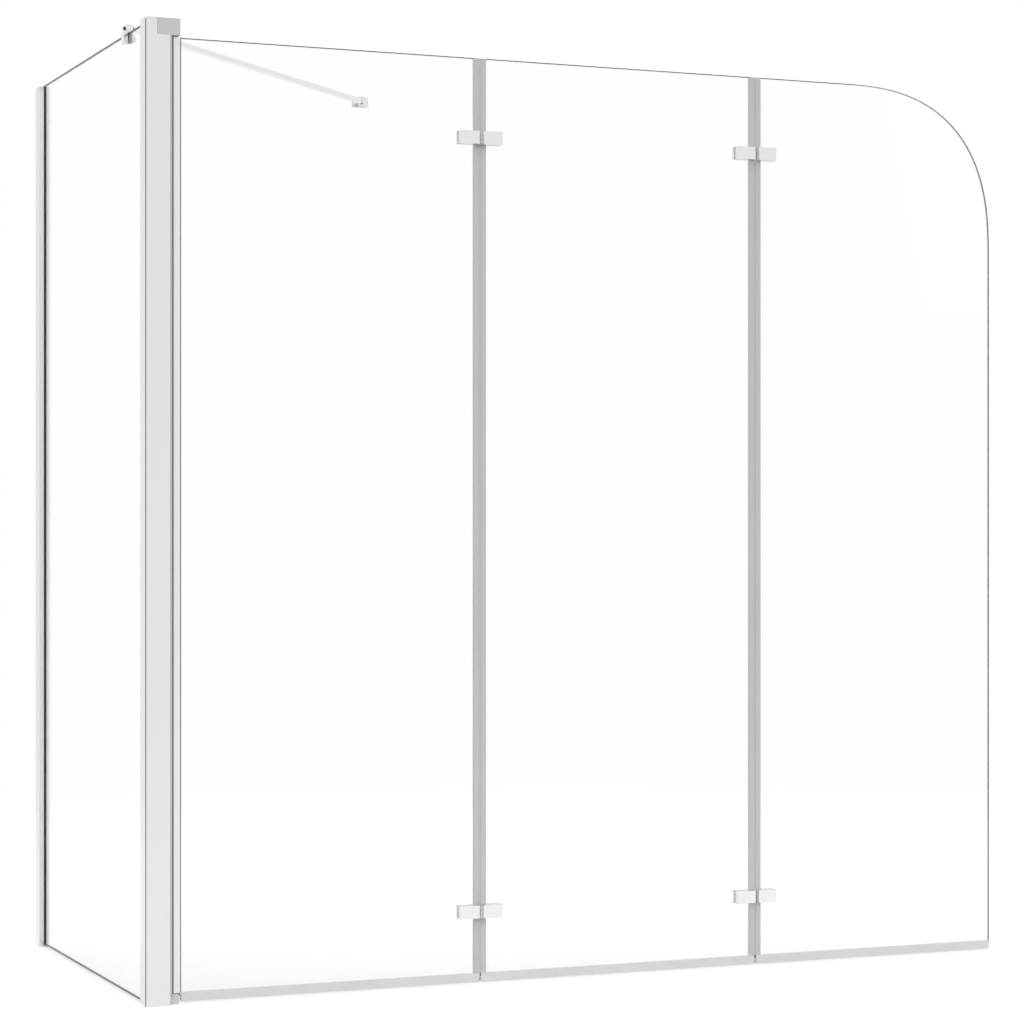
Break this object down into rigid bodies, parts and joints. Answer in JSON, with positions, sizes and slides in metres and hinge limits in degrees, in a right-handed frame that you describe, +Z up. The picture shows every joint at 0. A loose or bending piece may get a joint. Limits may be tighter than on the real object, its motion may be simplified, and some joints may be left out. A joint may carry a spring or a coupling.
{
  "type": "folding bath enclosure",
  "caption": "Bath enclosure with a fixed glass side panel, a corner post and hinged glass panes that fold in a zigzag, the last with a rounded upper corner.",
  "frame": {"origin": "centre of the whole footprint, on the plane that the post and the wall profile stand on", "axes": "+X along the folding panes away from the corner post, +Y towards the wall that carries the wall profile and the stay bar, +Z up"},
  "size_m": [1.29, 0.64, 1.3097],
  "materials": {
    "clear_glass": "clear toughened glass with polished edges",
    "clear_vinyl": "translucent soft vinyl seal",
    "dark_gasket": "dark glazing rubber",
    "grey_moulding": "light grey moulded plastic",
    "white_bush": "natural white bearing plastic",
    "black_screw": "blackened steel",
    "bright_aluminium": "bright anodised extrusion",
    "stainless_steel": "plain stainless steel",
    "polished_chrome": "bright chrome plate"
  },
  "bodies": {
    "fixed_frame": {"wall_channel": "bright_aluminium", "side_profile": "bright_aluminium", "channel_cap": "bright_aluminium", "channel_screws": "stainless_steel", "side_gaskets": "dark_gasket", "setting_blocks": "grey_moulding", "side_glass": "clear_glass", "corner_post": "bright_aluminium", "post_gaskets": "dark_gasket", "post_seal": "dark_gasket", "post_cap": "bright_aluminium", "head_block": "grey_moulding", "foot_block": "grey_moulding", "pivot_bushes": "white_bush", "block_screws": "stainless_steel", "clamp_body": "polished_chrome", "clamp_plate": "black_screw", "clamp_pads": "clear_vinyl", "clamp_screw": "stainless_steel", "bar_yoke": "polished_chrome", "yoke_screw": "black_screw", "bar_plug": "polished_chrome", "stay_bar": "polished_chrome", "bar_eye": "polished_chrome", "bar_pins": "stainless_steel", "wall_flange": "polished_chrome"},
    "pane_1": {"pivot_profile": "bright_aluminium", "pivot_gaskets": "dark_gasket", "pivot_pins": "stainless_steel", "glass_1": "clear_glass", "bottom_seal_1": "clear_vinyl", "seam_seal_1a": "clear_vinyl", "hinge_1a_upper": "polished_chrome", "hinge_1a_lower": "polished_chrome", "cover_1a": "polished_chrome", "hinge_1_pins": "stainless_steel", "hinge_pads_1": "clear_vinyl", "hinge_screws_1": "stainless_steel"},
    "pane_2": {"glass_2": "clear_glass", "bottom_seal_2": "clear_vinyl", "seam_seal_1b": "clear_vinyl", "seam_seal_2a": "clear_vinyl", "hinge_1b_upper": "polished_chrome", "hinge_1b_lower": "polished_chrome", "cover_1b": "polished_chrome", "hinge_2a_upper": "polished_chrome", "hinge_2a_lower": "polished_chrome", "cover_2a": "polished_chrome", "hinge_2_pins": "stainless_steel", "hinge_pads_2": "clear_vinyl", "hinge_screws_2": "stainless_steel"},
    "pane_3": {"glass_3": "clear_glass", "bottom_seal_3": "clear_vinyl", "seam_seal_2b": "clear_vinyl", "hinge_2b_upper": "polished_chrome", "hinge_2b_lower": "polished_chrome", "cover_2b": "polished_chrome", "hinge_pads_3": "clear_vinyl", "hinge_screws_3": "stainless_steel"}
  },
  "joints": [
    {"name": "swing", "type": "hinge", "parent": "fixed_frame", "child": "pane_1", "pos_m": [-0.5996, -0.3045, 0.65], "axis": [0, 0, 1], "range_deg": [-90, 85]},
    {"name": "fold_1", "type": "hinge", "parent": "pane_1", "child": "pane_2", "pos_m": [-0.167, -0.3154, 0.65], "axis": [0, 0, 1], "range_deg": [-170, 0]},
    {"name": "fold_2", "type": "hinge", "parent": "pane_2", "child": "pane_3", "pos_m": [0.256, -0.2936, 0.65], "axis": [0, 0, 1], "range_deg": [0, 180]}
  ]
}
